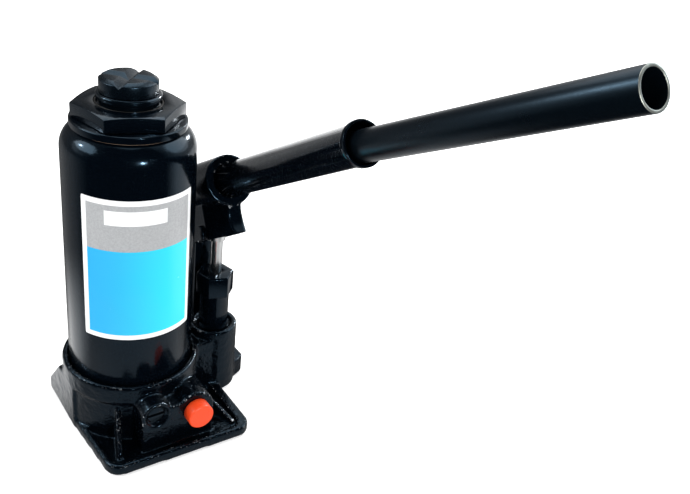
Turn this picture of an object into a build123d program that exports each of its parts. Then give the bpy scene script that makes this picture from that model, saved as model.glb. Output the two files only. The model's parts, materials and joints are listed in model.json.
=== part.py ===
from build123d import *
import math
import os

# Hydraulic bottle jack, millimetres. The ram axis is Z and the ground is Z = 0.
# +X runs from the ram to the pump, and -Y is the operator's side.

# Fits
running_gap = 0.05          # radial, between a shaft and its hole
seat_gap = 0.1              # radial, between pieces that are screwed or pressed together
face_gap = 0.2              # between faces that part when something moves
side_gap = 0.3              # each side of a link or a clip

# Cast base
barrel_diameter = 81.0
barrel_step = 1.3           # how far the barrel's collar stands out
base_height = 42.0
base_left = 40.0
block_front = 9.0
block_back = 40.0
block_height = 30.0
block_shelf = 16.7          # where the block begins to slope down to its foot
block_foot = 38.0
block_foot_height = 6.0
block_corner_radius = 5.5
plate_front = 62.0
plate_right = 54.4
plate_taper = 3.7           # how far the left side runs in towards the front
plate_skew = 2.4            # how far the front edge falls back at its left end
plate_corner_radius = 9.0
plate_thickness = 3.5
rim_height = 6.5
rim_width = 3.4
rim_side_width = 6.5
rib_thickness = 2.6
left_rib_root = -11.4       # where the line of a rib meets the X axis
left_rib_top = 27.5
right_rib_root = 27.5
right_rib_top = 17.3
casting_fillet = 1.5

# Tank
reservoir_diameter = 73.0
reservoir_wall = 2.0
reservoir_height = 155.0
shoulder_radius = 14.0
shoulder_sweep = 59.0
seat_depth = 9.0
collar_gap = 0.6
gasket_thickness = 1.5
filler_height = 112.0       # above the bottom of the tank
filler_hole_diameter = 9.0
filler_head_diameter = 14.0
filler_head_height = 3.0
filler_plug_length = 7.0

# Cap nut
cap_gasket_thickness = 0.8
cap_flange_diameter = 62.4
cap_flange_thickness = 3.8
cap_groove_height = 0.6
cap_groove_diameter = 49.0
cap_hex_flats = 52.4
cap_hex_height = 8.0
cap_hex_turn = 44.0
cap_hex_chamfer = 0.6
cap_corner_drop = 1.3       # how far the chamfer lowers the corners
cap_spigot_diameter = 54.0
cap_spigot_length = 16.3
cap_thread_length = 12.0
wiper_width = 1.2
wiper_height = 4.0

# Ram, inner cylinder and extension screw
cylinder_diameter = 47.0
cylinder_bore = 38.0
cylinder_seat_depth = 5.0
cylinder_seal_thickness = 1.0
ram_diameter = 34.5
ram_floor_gap = 1.0
ram_protrusion = 5.2
ram_wall = 3.0
ram_band = 3.0              # height of the full rim above the neck
ram_neck_diameter = 30.8
ram_neck_length = 3.4
ram_floor = 8.0
ram_thread_length = 28.0
ram_lift = 127.0
cup_height = 5.0
cup_depth = 3.0
screw_diameter = 24.0
screw_travel = 70.0
screw_tail = 1.5
stop_ring_thickness = 2.0
stop_ring_diameter = 27.6
saddle_diameter = 31.2
saddle_height = 8.3
saddle_rim_slope = 2.6      # radial size of the sloped rim
saddle_rim_drop = 1.7
groove_width = 7.0
groove_depth = 3.0
groove_turn = 48.0

# Pump
pump_offset = 56.2
boss_diameter = 31.0
boss_height = 46.4
boss_recess_diameter = 23.6
boss_recess_depth = 2.0
web_width = 28.0
web_height = 41.0
pump_neck_diameter = 18.7
pump_neck_height = 22.6
pump_hex_flats = 20.7
pump_hex_height = 15.0
pump_hex_turn = 45.0
pump_hex_chamfer = 0.8
pump_thread_diameter = 15.0
pump_thread_length = 22.0
pump_floor = 5.0
port_diameter = 3.0
washer_thickness = 1.5
plunger_diameter = 7.6
plunger_eye_diameter = 10.5
plunger_eye_length = 12.0   # thick top that takes the pin
plunger_dead_space = 2.2    # left under the plunger at the end of its stroke
plunger_eye_height = 6.0    # from the pin to the top of the plunger
plunger_seal_height = 2.4
plunger_seal_depth = 1.6
check_ball_diameter = 6.0
chamber_diameter = 7.0
chamber_height = 8.0

# Foot wing and link
wing_height = 13.0
wing_front = 13.3
wing_shoulder = 58.0        # where the front edge turns back
wing_right = 79.0
wing_back = 29.0
wing_corner_radius = 5.0
ear_thickness = 4.0
link_setback = 20.7         # from the pump axis back to the link
link_width = 13.0
link_depth = 11.0
link_base_height = 34.0
ear_radius = 7.0
pin_diameter = 5.9
pin_head_diameter = 9.0
pin_head_height = 1.5
clip_diameter = 9.4
clip_thickness = 0.9

# Handle socket, with its own axis raised towards the operator
handle_rise = 30.6
link_length = 68.6
plunger_pin_lead = 10.8     # how far the plunger pin stands above the link pin
handle_swing = 45.0
socket_diameter = 30.2
socket_length = 49.0
socket_lift = 26.4          # from the link pin up to the socket axis
socket_reach = 54.0         # from the link pin forward to the socket mouth
socket_bore_depth = 42.0
cheek_thickness = 3.7
cheek_drop = 7.5            # from the link pin down to the lower edge
nose_reach = 55.3           # from the link pin to the tip of the lug
nose_drop = 5.2
nose_sweep = 2.8            # how far the front edge curves in
nose_width = 7.0
taper_start = 31.0          # where the lug begins to narrow towards its nose
fork_ceiling = 9.5
fork_front = 34.0
slot_gap = 0.5

# Handle tubes
handle_diameter = 20.0
handle_wall = 1.25
handle_visible = 137.5
handle_inserted = 40.0
lip_diameter = 22.2
lip_length = 5.0
extension_diameter = 15.3
extension_wall = 1.2
extension_visible = 149.3
extension_inserted = 59.0
extension_droop = 2.2

# Valve block
boss_front = 51.0
overload_offset = -4.5
overload_height = 27.0
overload_hump_diameter = 18.4
release_offset = 20.0
release_height = 23.5
release_hump_diameter = 24.0
hump_bridge_height = 31.0
counterbore_diameter = 14.0
counterbore_depth = 2.0
valve_bore_diameter = 10.0
valve_bore_depth = 26.0
release_body_length = 14.0
release_tip_length = 4.0
release_ball_diameter = 5.5
release_seal_height = 2.0
release_seal_depth = 1.4
stem_diameter = 7.0
stem_length = 5.5
valve_cap_diameter = 15.8
valve_cap_length = 8.0
valve_cap_fillet = 1.2
plug_recess = 2.5
plug_length = 7.0
plug_slot_width = 1.8
plug_slot_depth = 1.8
spring_wire = 1.0
spring_diameter = 7.0
spring_turns = 5

# Levels worked out from the sizes above
barrel_radius = barrel_diameter / 2
lower_radius = barrel_radius - barrel_step
overload_hump = (overload_offset, overload_height, overload_hump_diameter)
release_hump = (release_offset, release_height, release_hump_diameter)
plate_reach = plate_front - plate_corner_radius
left_rib_end = Vector(plate_corner_radius + plate_taper - base_left, plate_skew - plate_reach)
right_rib_end = Vector(plate_right - plate_corner_radius, -plate_reach)
left_rib = (left_rib_end, left_rib_root, left_rib_top)
right_rib = (right_rib_end, right_rib_root, right_rib_top)
seat_floor = base_height - seat_depth
cylinder_floor = seat_floor - cylinder_seat_depth
tank_bottom = seat_floor + gasket_thickness
tank_top = tank_bottom + reservoir_height
flange_bottom = tank_top + cap_gasket_thickness
hex_bottom = flange_bottom + cap_flange_thickness + cap_groove_height
cap_top = hex_bottom + cap_hex_height
spigot_bottom = flange_bottom - cap_spigot_length
cylinder_top = spigot_bottom + cap_thread_length
cylinder_bottom = cylinder_floor + cylinder_seal_thickness
ram_bottom = cylinder_floor + ram_floor_gap
ram_top = cap_top + ram_protrusion
piston_top = cylinder_top - ram_lift - face_gap
thread_bottom = ram_top - ram_thread_length
saddle_bottom = ram_top + face_gap
saddle_top = saddle_bottom + saddle_height
stop_ring_top = thread_bottom - screw_travel - face_gap
screw_bottom = stop_ring_top - stop_ring_thickness - screw_tail
neck_top = boss_height + pump_neck_height
pump_top = neck_top + pump_hex_height
neck_bottom = boss_height - boss_recess_depth
pump_bottom = neck_bottom - pump_thread_length
washer_bottom = pump_bottom - washer_thickness
link_pin_height = link_base_height + link_length
plunger_pin_height = link_pin_height + plunger_pin_lead
plunger_top = plunger_pin_height + plunger_eye_height
fork_gap = link_width + 2 * side_gap
cheek_span = fork_gap + 2 * cheek_thickness
ear_span = fork_gap + 2 * ear_thickness
fork_room = link_depth / 2 + side_gap
rise = math.radians(handle_rise)
rise_cos = math.cos(rise)
rise_sin = math.sin(rise)

# The plunger pin seen from the link pin, along and across the socket axis
pin_along = link_setback * rise_cos + plunger_pin_lead * rise_sin
pin_across = plunger_pin_lead * rise_cos - link_setback * rise_sin
pin_arm = math.hypot(link_setback, plunger_pin_lead)
slot_travel = pin_arm - link_setback
pin_angle = math.atan2(plunger_pin_lead, link_setback)
plunger_stroke = pin_arm * (math.sin(pin_angle) - math.sin(pin_angle - math.radians(handle_swing)))
plunger_bottom = pump_bottom + pump_floor + plunger_stroke + plunger_dead_space
plunger_length = plunger_top - plunger_bottom

# Planes that the pieces are placed by
handle_way = (0, -rise_cos, rise_sin)
socket_plane = Plane((pump_offset, link_setback, link_pin_height), x_dir=handle_way, z_dir=(-1, 0, 0))
mouth = socket_plane.from_local_coords(Vector(socket_reach, socket_lift, 0))
mouth_plane = Plane(mouth, x_dir=(1, 0, 0), z_dir=handle_way)
droop = math.radians(handle_rise - extension_droop)
extension_way = (0, -math.cos(droop), math.sin(droop))
lip_end = mouth + Vector(*handle_way) * handle_visible
hold_depth = (extension_inserted + lip_length) / 2
extension_hold = lip_end - Vector(*handle_way) * hold_depth
extension_plane = Plane(extension_hold, x_dir=(1, 0, 0), z_dir=extension_way)


def at_pump(height):
    return Plane((pump_offset, 0, height))


def across(y, z, x):
    # A plane that faces +X, for pins
    return Plane((x, y, z), x_dir=(0, 1, 0), z_dir=(1, 0, 0))


def facing_operator(x, depth, z):
    # A plane that faces -Y, for the valves
    return Plane((x, -depth, z), x_dir=(1, 0, 0), z_dir=(0, -1, 0))


# What the slope takes off the back of the block, outside the barrel
with BuildPart() as back_slope:
    with BuildSketch(across(0, 0, -barrel_diameter)):
        with BuildLine():
            Polyline(
                (block_shelf, block_height),
                (block_foot, block_foot_height),
                (barrel_diameter, block_foot_height),
                (barrel_diameter, base_height),
                (block_shelf, base_height),
                close=True,
            )
        make_face()
    extrude(amount=2 * barrel_diameter)
    with BuildSketch():
        Circle(lower_radius)
    extrude(amount=base_height, mode=Mode.SUBTRACT)

# Cast base: rimmed plate, barrel, back block, foot wing, pump boss, valve humps and ribs
with BuildPart() as base:
    with BuildSketch() as plate_outline:
        with BuildLine():
            Polyline(
                (-base_left, 0),
                (plate_right, 0),
                (plate_right, -plate_front),
                (plate_taper - base_left, plate_skew - plate_front),
                close=True,
            )
        make_face()
        fillet(plate_outline.vertices().sort_by(Axis.Y)[:2], plate_corner_radius)
    extrude(amount=rim_height)
    fillet(base.faces().sort_by(Axis.Z)[-1].edges(), casting_fillet)
    with BuildSketch(Plane.XY.offset(plate_thickness)) as recess_outline:
        with BuildLine():
            Polyline(
                (rim_width - base_left, 0),
                (plate_right - rim_side_width, 0),
                (plate_right - rim_side_width, rim_width - plate_front),
                (plate_taper + rim_width - base_left, plate_skew + rim_width - plate_front),
                close=True,
            )
        make_face()
        fillet(recess_outline.vertices().sort_by(Axis.Y)[:2], plate_corner_radius - rim_width / 2)
    extrude(amount=rim_height - plate_thickness, mode=Mode.SUBTRACT)
    with BuildSketch() as block_outline:
        with Locations((0, (block_back - block_front) / 2)):
            Rectangle(2 * base_left, block_back + block_front)
        fillet(block_outline.vertices().group_by(Axis.Y)[-1], block_corner_radius)
        Circle(lower_radius)
        with Locations((-base_left, 0)):
            Rectangle(barrel_diameter, 2 * barrel_diameter, align=(Align.MAX, Align.CENTER),
                      mode=Mode.SUBTRACT)
    extrude(amount=block_height)
    add(back_slope.part, mode=Mode.SUBTRACT)
    with BuildSketch(Plane.XY.offset(block_height)):
        Circle(barrel_radius)
    extrude(amount=base_height - block_height)
    fillet(base.faces().sort_by(Axis.Z)[-1].edges(), casting_fillet)
    with BuildSketch() as wing_outline:
        with BuildLine():
            Polyline(
                (0, -wing_front),
                (wing_shoulder, -wing_front),
                (wing_right, -wing_front / 4),
                (wing_right, link_setback - ear_radius),
                (wing_shoulder + ear_radius, wing_back),
                (0, wing_back),
                close=True,
            )
        make_face()
        fillet(wing_outline.vertices().group_by(Axis.X)[-1], wing_corner_radius)
    extrude(amount=wing_height)
    with BuildSketch():
        with Locations((pump_offset / 2, 0)):
            Rectangle(pump_offset, web_width)
    extrude(amount=web_height)
    with BuildSketch(at_pump(0)):
        Circle(boss_diameter / 2)
    extrude(amount=boss_height)
    fillet(base.faces().sort_by(Axis.Z)[-1].edges(), casting_fillet)
    with BuildSketch(across(link_setback, link_base_height, pump_offset)):
        Circle(ear_radius)
        with Locations((0, -link_base_height / 2)):
            Rectangle(2 * ear_radius, link_base_height)
    extrude(amount=ear_span / 2, both=True)
    with BuildSketch(facing_operator(0, 0, 0)):
        for hump_x, hump_z, hump_diameter in overload_hump, release_hump:
            with Locations((hump_x, hump_z)):
                Circle(hump_diameter / 2)
            with Locations((hump_x, hump_z / 2)):
                Rectangle(hump_diameter, hump_z)
        with Locations(((overload_offset + release_offset) / 2, hump_bridge_height / 2)):
            Rectangle(release_offset - overload_offset, hump_bridge_height)
    extrude(amount=boss_front)
    for corner, root_x, rib_top in left_rib, right_rib:
        root = Vector(root_x, 0)
        run = corner - root
        along = run.normalized()
        # Where the rib comes out of the barrel and starts to slope
        rib_start = math.sqrt((root_x * along.X) ** 2 - root_x**2 + lower_radius**2) - root_x * along.X
        with BuildSketch(Plane(root, x_dir=run, z_dir=run.cross(Vector(0, 0, 1)))):
            with BuildLine():
                Polyline(
                    (0, 0),
                    (run.length, 0),
                    (run.length, rim_height),
                    (rib_start, rib_top),
                    (0, rib_top),
                    close=True,
                )
            make_face()
        extrude(amount=rib_thickness / 2, both=True)
    # Seats for the tank and the inner cylinder
    with BuildSketch(Plane.XY.offset(seat_floor)):
        Circle(reservoir_diameter / 2 + collar_gap)
    extrude(amount=boss_height, mode=Mode.SUBTRACT)
    with BuildSketch(Plane.XY.offset(cylinder_floor)):
        Circle(cylinder_diameter / 2 + seat_gap)
    extrude(amount=cylinder_seat_depth, mode=Mode.SUBTRACT)
    # Pump bore, check valve chambers and the passage between them
    with BuildSketch(at_pump(washer_bottom)):
        Circle(pump_thread_diameter / 2 + seat_gap)
    extrude(amount=pump_thread_length + washer_thickness, mode=Mode.SUBTRACT)
    with BuildSketch(at_pump(neck_bottom)):
        Circle(boss_recess_diameter / 2)
    extrude(amount=boss_recess_depth, mode=Mode.SUBTRACT)
    with BuildSketch(Plane.XY.offset(washer_bottom - chamber_height)):
        with Locations((pump_offset, 0)):
            Circle(chamber_diameter / 2)
    extrude(amount=chamber_height, mode=Mode.SUBTRACT)
    with BuildSketch(Plane.XY.offset(cylinder_floor - chamber_height)):
        Circle(chamber_diameter / 2)
    extrude(amount=chamber_height, mode=Mode.SUBTRACT)
    # Valve bores, open towards the operator
    for bore_x, bore_z, _ in overload_hump, release_hump:
        with BuildSketch(facing_operator(bore_x, boss_front, bore_z)):
            Circle(valve_bore_diameter / 2)
        extrude(amount=-valve_bore_depth, mode=Mode.SUBTRACT)
    with BuildSketch(facing_operator(overload_offset, boss_front, overload_height)):
        Circle(counterbore_diameter / 2)
    extrude(amount=-counterbore_depth, mode=Mode.SUBTRACT)
    # Clevis for the link
    with BuildSketch(across(link_setback, link_base_height, pump_offset)):
        with Locations((-fork_room, -fork_room)):
            Rectangle(fork_room + 2 * ear_radius, fork_room + 2 * ear_radius, align=Align.MIN)
    extrude(amount=fork_gap / 2, both=True, mode=Mode.SUBTRACT)
    with BuildSketch(across(link_setback, link_base_height, pump_offset)):
        Circle(pin_diameter / 2 + running_gap)
    extrude(amount=ear_span, both=True, mode=Mode.SUBTRACT)

# Tank: a drawn tube with a rounded shoulder, and a filler hole at the back
with BuildPart() as reservoir:
    sweep_angle = math.radians(shoulder_sweep)
    shoulder_base = tank_top - shoulder_radius * math.sin(sweep_angle)
    shoulder_centre = reservoir_diameter / 2 - shoulder_radius
    inner_shoulder = shoulder_radius - reservoir_wall
    mouth_radius = cap_spigot_diameter / 2 + side_gap
    mouth_level = shoulder_base + math.sqrt(inner_shoulder**2 - (mouth_radius - shoulder_centre) ** 2)
    with BuildSketch(Plane.XZ):
        with BuildLine():
            Line((reservoir_diameter / 2, tank_bottom), (reservoir_diameter / 2, shoulder_base))
            outer_bend = CenterArc((shoulder_centre, shoulder_base), shoulder_radius, 0, shoulder_sweep)
            Polyline(outer_bend @ 1, (mouth_radius, tank_top), (mouth_radius, mouth_level))
            bend_end = math.degrees(math.acos((mouth_radius - shoulder_centre) / inner_shoulder))
            CenterArc((shoulder_centre, shoulder_base), inner_shoulder, 0, bend_end)
            Polyline(
                (reservoir_diameter / 2 - reservoir_wall, shoulder_base),
                (reservoir_diameter / 2 - reservoir_wall, tank_bottom),
                (reservoir_diameter / 2, tank_bottom),
            )
        make_face()
    revolve(axis=Axis.Z)
    with BuildSketch(Plane((0, 0, tank_bottom + filler_height), x_dir=(1, 0, 0), z_dir=(0, 1, 0))):
        Circle(filler_hole_diameter / 2)
    extrude(amount=reservoir_diameter, mode=Mode.SUBTRACT)

# Rubber filler plug, a headed stopper with a rounded nose
with BuildPart() as filler_plug:
    plug_seat = reservoir_diameter / 2 + face_gap
    plug_radius = filler_hole_diameter / 2 - running_gap
    with BuildSketch(Plane((0, 0, tank_bottom + filler_height), x_dir=(1, 0, 0), z_dir=(0, 0, 1))):
        with BuildLine():
            Polyline(
                (0, plug_seat - filler_plug_length),
                (plug_radius - reservoir_wall / 2, plug_seat - filler_plug_length),
                (plug_radius, plug_seat - filler_plug_length + reservoir_wall),
                (plug_radius, plug_seat),
                (filler_head_diameter / 2, plug_seat),
                (filler_head_diameter / 2, plug_seat + filler_head_height / 2),
                (filler_head_diameter / 2 - filler_head_height / 2, plug_seat + filler_head_height),
                (0, plug_seat + filler_head_height),
                close=True,
            )
        make_face()
    revolve(axis=Axis((0, 0, tank_bottom + filler_height), (0, 1, 0)))

# Fibre rings under and over the tank, and under the inner cylinder
with BuildPart() as tank_gasket:
    with BuildSketch(Plane.XY.offset(seat_floor)):
        Circle(reservoir_diameter / 2)
        Circle(reservoir_diameter / 2 - 2 * reservoir_wall, mode=Mode.SUBTRACT)
    extrude(amount=gasket_thickness)

with BuildPart() as cap_gasket:
    rim_radius = reservoir_diameter / 2 - shoulder_radius * (1 - math.cos(math.radians(shoulder_sweep)))
    with BuildSketch(Plane.XY.offset(tank_top)):
        Circle(rim_radius)
        Circle(cap_spigot_diameter / 2 + seat_gap, mode=Mode.SUBTRACT)
    extrude(amount=cap_gasket_thickness)

with BuildPart() as cylinder_seal:
    with BuildSketch(Plane.XY.offset(cylinder_floor)):
        Circle(cylinder_diameter / 2)
        Circle(cylinder_bore / 2 + running_gap, mode=Mode.SUBTRACT)
    extrude(amount=cylinder_seal_thickness)

# Inner cylinder that the ram runs in
with BuildPart() as inner_cylinder:
    with BuildSketch(Plane.XY.offset(cylinder_bottom)):
        Circle(cylinder_diameter / 2)
        Circle(cylinder_bore / 2 + running_gap, mode=Mode.SUBTRACT)
    extrude(amount=cylinder_top - cylinder_bottom)

# Cap nut: hexagon, groove, round flange and the spigot that screws on to the cylinder
with BuildPart() as cap_nut:
    with BuildSketch(Plane.XY.offset(spigot_bottom)):
        Circle(cap_spigot_diameter / 2)
    extrude(amount=cap_spigot_length)
    with BuildSketch(Plane.XY.offset(flange_bottom)):
        Circle(cap_flange_diameter / 2)
    extrude(amount=cap_flange_thickness)
    fillet(cap_nut.faces().sort_by(Axis.Z)[-1].edges(), cap_flange_thickness / 4)
    with BuildSketch(Plane.XY.offset(hex_bottom - cap_groove_height)):
        Circle(cap_groove_diameter / 2)
    extrude(amount=cap_groove_height)
    with BuildSketch(Plane.XY.offset(hex_bottom)):
        RegularPolygon(cap_hex_flats / 2, 6, major_radius=False, rotation=cap_hex_turn)
    extrude(amount=cap_hex_height)
    # The round chamfer that turns the top corners of the hexagon
    hex_corner = cap_hex_flats / math.sqrt(3)
    with BuildSketch(Plane.XZ):
        with BuildLine():
            Polyline(
                (cap_hex_flats / 2 - cap_hex_chamfer, cap_top),
                (hex_corner + cap_hex_chamfer, cap_top),
                (hex_corner + cap_hex_chamfer, cap_top - cap_corner_drop),
                close=True,
            )
        make_face()
    revolve(axis=Axis.Z, mode=Mode.SUBTRACT)
    with BuildSketch(Plane.XY.offset(spigot_bottom)):
        Circle(cylinder_diameter / 2 + seat_gap)
    extrude(amount=cap_thread_length, mode=Mode.SUBTRACT)
    with BuildSketch(Plane.XY.offset(cylinder_top)):
        Circle(ram_diameter / 2 + running_gap)
    extrude(amount=cap_top - cylinder_top, mode=Mode.SUBTRACT)
    with BuildSketch(Plane.XY.offset(cap_top - wiper_height)):
        Circle(ram_diameter / 2 + wiper_width)
    extrude(amount=wiper_height, mode=Mode.SUBTRACT)

# Rubber wiper ring in the cap, with a lip that leans in to the ram
with BuildPart() as ram_wiper:
    with BuildSketch(Plane.XZ):
        with BuildLine():
            Polyline(
                (ram_diameter / 2 + running_gap, cap_top - wiper_height),
                (ram_diameter / 2 + wiper_width - running_gap, cap_top - wiper_height),
                (ram_diameter / 2 + wiper_width - running_gap, cap_top - wiper_height / 4),
                (ram_diameter / 2 + wiper_width / 2, cap_top),
                (ram_diameter / 2 + running_gap, cap_top),
                close=True,
            )
        make_face()
    revolve(axis=Axis.Z)

# Ram: piston, hollow rod and the threaded neck that takes the screw
with BuildPart() as ram:
    with BuildSketch(Plane.XY.offset(ram_bottom)):
        Circle(cylinder_bore / 2)
    extrude(amount=piston_top - ram_bottom)
    with BuildSketch(Plane.XY.offset(piston_top)):
        Circle(ram_diameter / 2)
    extrude(amount=ram_top - piston_top)
    chamfer(ram.faces().sort_by(Axis.Z)[-1].edges(), ram_wall / 4)
    with BuildSketch(Plane.XY.offset(ram_top - ram_band - ram_neck_length)):
        Circle(ram_diameter / 2)
        Circle(ram_neck_diameter / 2, mode=Mode.SUBTRACT)
    extrude(amount=ram_neck_length, mode=Mode.SUBTRACT)
    with BuildSketch(Plane.XY.offset(ram_bottom + ram_floor)):
        Circle(ram_diameter / 2 - ram_wall)
    extrude(amount=thread_bottom - ram_bottom - ram_floor, mode=Mode.SUBTRACT)
    with BuildSketch(Plane.XY.offset(thread_bottom)):
        Circle(screw_diameter / 2 + running_gap)
    extrude(amount=ram_thread_length, mode=Mode.SUBTRACT)
    with BuildSketch(Plane.XY.offset(ram_bottom + ram_floor / 2 - cup_height / 2)):
        Circle(cylinder_bore / 2)
        Circle(cylinder_bore / 2 - cup_depth, mode=Mode.SUBTRACT)
    extrude(amount=cup_height, mode=Mode.SUBTRACT)

# Cup seal in the piston's groove
with BuildPart() as ram_cup_seal:
    with BuildSketch(Plane.XY.offset(ram_bottom + ram_floor / 2 - cup_height / 2)):
        Circle(cylinder_bore / 2)
        Circle(cylinder_bore / 2 - cup_depth + running_gap, mode=Mode.SUBTRACT)
    extrude(amount=cup_height)

# Extension screw, with a round saddle cut by crossed grooves
with BuildPart() as extension_screw:
    with BuildSketch(Plane.XY.offset(screw_bottom)):
        Circle(screw_diameter / 2)
    extrude(amount=saddle_bottom - screw_bottom)
    with BuildSketch(Plane.XY.offset(screw_bottom + screw_tail)):
        Circle(screw_diameter / 2)
        Circle(screw_diameter / 2 - stop_ring_thickness, mode=Mode.SUBTRACT)
    extrude(amount=stop_ring_thickness, mode=Mode.SUBTRACT)
    with BuildSketch(Plane.XZ):
        with BuildLine():
            Polyline(
                (0, saddle_bottom),
                (saddle_diameter / 2, saddle_bottom),
                (saddle_diameter / 2, saddle_top - saddle_rim_drop),
                (saddle_diameter / 2 - saddle_rim_slope, saddle_top),
                (0, saddle_top),
                close=True,
            )
        make_face()
    revolve(axis=Axis.Z)
    for turn in (groove_turn, groove_turn + 90):
        across_saddle = Plane.XZ.rotated((0, 0, turn))
        with BuildSketch(across_saddle):
            with BuildLine():
                Polyline(
                    (-groove_width / 2, saddle_top),
                    (groove_width / 2, saddle_top),
                    (0, saddle_top - groove_depth),
                    close=True,
                )
            make_face()
        extrude(amount=saddle_diameter, both=True, mode=Mode.SUBTRACT)

# Stop ring that keeps the screw in the ram
with BuildPart() as screw_stop_ring:
    with BuildSketch(Plane.XY.offset(stop_ring_top - stop_ring_thickness)):
        Circle(stop_ring_diameter / 2)
        Circle(screw_diameter / 2 - stop_ring_thickness + running_gap, mode=Mode.SUBTRACT)
    extrude(amount=stop_ring_thickness)

# Pump cylinder: hexagon, neck and the thread that goes into the boss
with BuildPart() as pump_cylinder:
    with BuildSketch(at_pump(pump_bottom)):
        Circle(pump_thread_diameter / 2)
    extrude(amount=pump_thread_length)
    with BuildSketch(at_pump(neck_bottom)):
        Circle(pump_neck_diameter / 2)
    extrude(amount=neck_top - neck_bottom)
    with BuildSketch(at_pump(neck_top)):
        RegularPolygon(pump_hex_flats / 2, 6, major_radius=False, rotation=pump_hex_turn)
    extrude(amount=pump_hex_height)
    hex_ends = pump_cylinder.edges().filter_by(GeomType.LINE).filter_by(Axis.Z, reverse=True)
    chamfer(hex_ends, pump_hex_chamfer)
    with BuildSketch(at_pump(pump_bottom + pump_floor)):
        Circle(plunger_diameter / 2 + running_gap)
    extrude(amount=pump_top - pump_bottom, mode=Mode.SUBTRACT)
    with BuildSketch(at_pump(pump_bottom)):
        Circle(port_diameter / 2)
    extrude(amount=pump_floor, mode=Mode.SUBTRACT)

with BuildPart() as pump_washer:
    with BuildSketch(at_pump(washer_bottom)):
        Circle(pump_thread_diameter / 2)
        Circle(port_diameter / 2, mode=Mode.SUBTRACT)
    extrude(amount=washer_thickness)

# Plunger, with a rounded eye for its pin and a groove for its seal
with BuildPart() as plunger:
    with BuildSketch(at_pump(plunger_bottom)):
        Circle(plunger_diameter / 2)
    extrude(amount=plunger_length)
    with BuildSketch(at_pump(plunger_top - plunger_eye_length)):
        Circle(plunger_eye_diameter / 2)
    extrude(amount=plunger_eye_length)
    fillet(plunger.faces().sort_by(Axis.Z)[-1].edges(), plunger_eye_diameter / 4)
    with BuildSketch(at_pump(plunger_bottom + plunger_seal_height)):
        Circle(plunger_diameter / 2)
        Circle(plunger_diameter / 2 - plunger_seal_depth, mode=Mode.SUBTRACT)
    extrude(amount=plunger_seal_height, mode=Mode.SUBTRACT)
    with BuildSketch(across(0, plunger_pin_height, pump_offset)):
        Circle(pin_diameter / 2 + running_gap)
    extrude(amount=plunger_eye_diameter, both=True, mode=Mode.SUBTRACT)

with BuildPart() as plunger_seal:
    with BuildSketch(at_pump(plunger_bottom + plunger_seal_height)):
        Circle(plunger_diameter / 2)
        Circle(plunger_diameter / 2 - plunger_seal_depth + running_gap, mode=Mode.SUBTRACT)
    extrude(amount=plunger_seal_height)

# Check valve balls, each on the floor of its chamber
with BuildPart() as suction_ball:
    ball_level = washer_bottom - chamber_height + check_ball_diameter / 2 + face_gap
    with Locations((pump_offset, 0, ball_level)):
        Sphere(check_ball_diameter / 2)

with BuildPart() as discharge_ball:
    with Locations((0, 0, cylinder_floor - chamber_height + check_ball_diameter / 2 + face_gap)):
        Sphere(check_ball_diameter / 2)

# Link bar between the base and the handle socket
with BuildPart() as link_bar:
    with BuildSketch(across(link_setback, link_base_height + link_length / 2, pump_offset)):
        SlotCenterToCenter(link_length, link_depth, rotation=90)
        with Locations((0, link_length / 2), (0, -link_length / 2)):
            Circle(pin_diameter / 2 + running_gap, mode=Mode.SUBTRACT)
    extrude(amount=link_width / 2, both=True)


# A headed pin along X; its clip sits on the far side
def headed_pin(y, z, span):
    start = pump_offset - span / 2 - side_gap
    reach = span + 2 * side_gap + 2 * clip_thickness + side_gap
    with BuildPart() as pin:
        with BuildSketch(across(y, z, start - pin_head_height)):
            Circle(pin_head_diameter / 2)
        extrude(amount=pin_head_height)
        fillet(pin.faces().sort_by(Axis.X)[0].edges(), pin_head_height / 3)
        with BuildSketch(across(y, z, start)):
            Circle(pin_diameter / 2)
        extrude(amount=reach)
        chamfer(pin.faces().sort_by(Axis.X)[-1].edges(), clip_thickness / 2)
    return pin


def spring_clip(y, z, span):
    with BuildPart() as clip:
        with BuildSketch(across(y, z, pump_offset + span / 2 + side_gap)):
            Circle(clip_diameter / 2)
            Circle(pin_diameter / 2 + running_gap, mode=Mode.SUBTRACT)
            with Locations((-clip_diameter / 2, 0)):
                Rectangle(clip_diameter, pin_diameter / 2, mode=Mode.SUBTRACT)
        extrude(amount=clip_thickness)
    return clip


link_top_pin = headed_pin(link_setback, link_pin_height, cheek_span)
link_base_pin = headed_pin(link_setback, link_base_height, ear_span)
plunger_pin = headed_pin(0, plunger_pin_height, cheek_span)
link_top_clip = spring_clip(link_setback, link_pin_height, cheek_span)
link_base_clip = spring_clip(link_setback, link_base_height, ear_span)
plunger_clip = spring_clip(0, plunger_pin_height, cheek_span)

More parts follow.
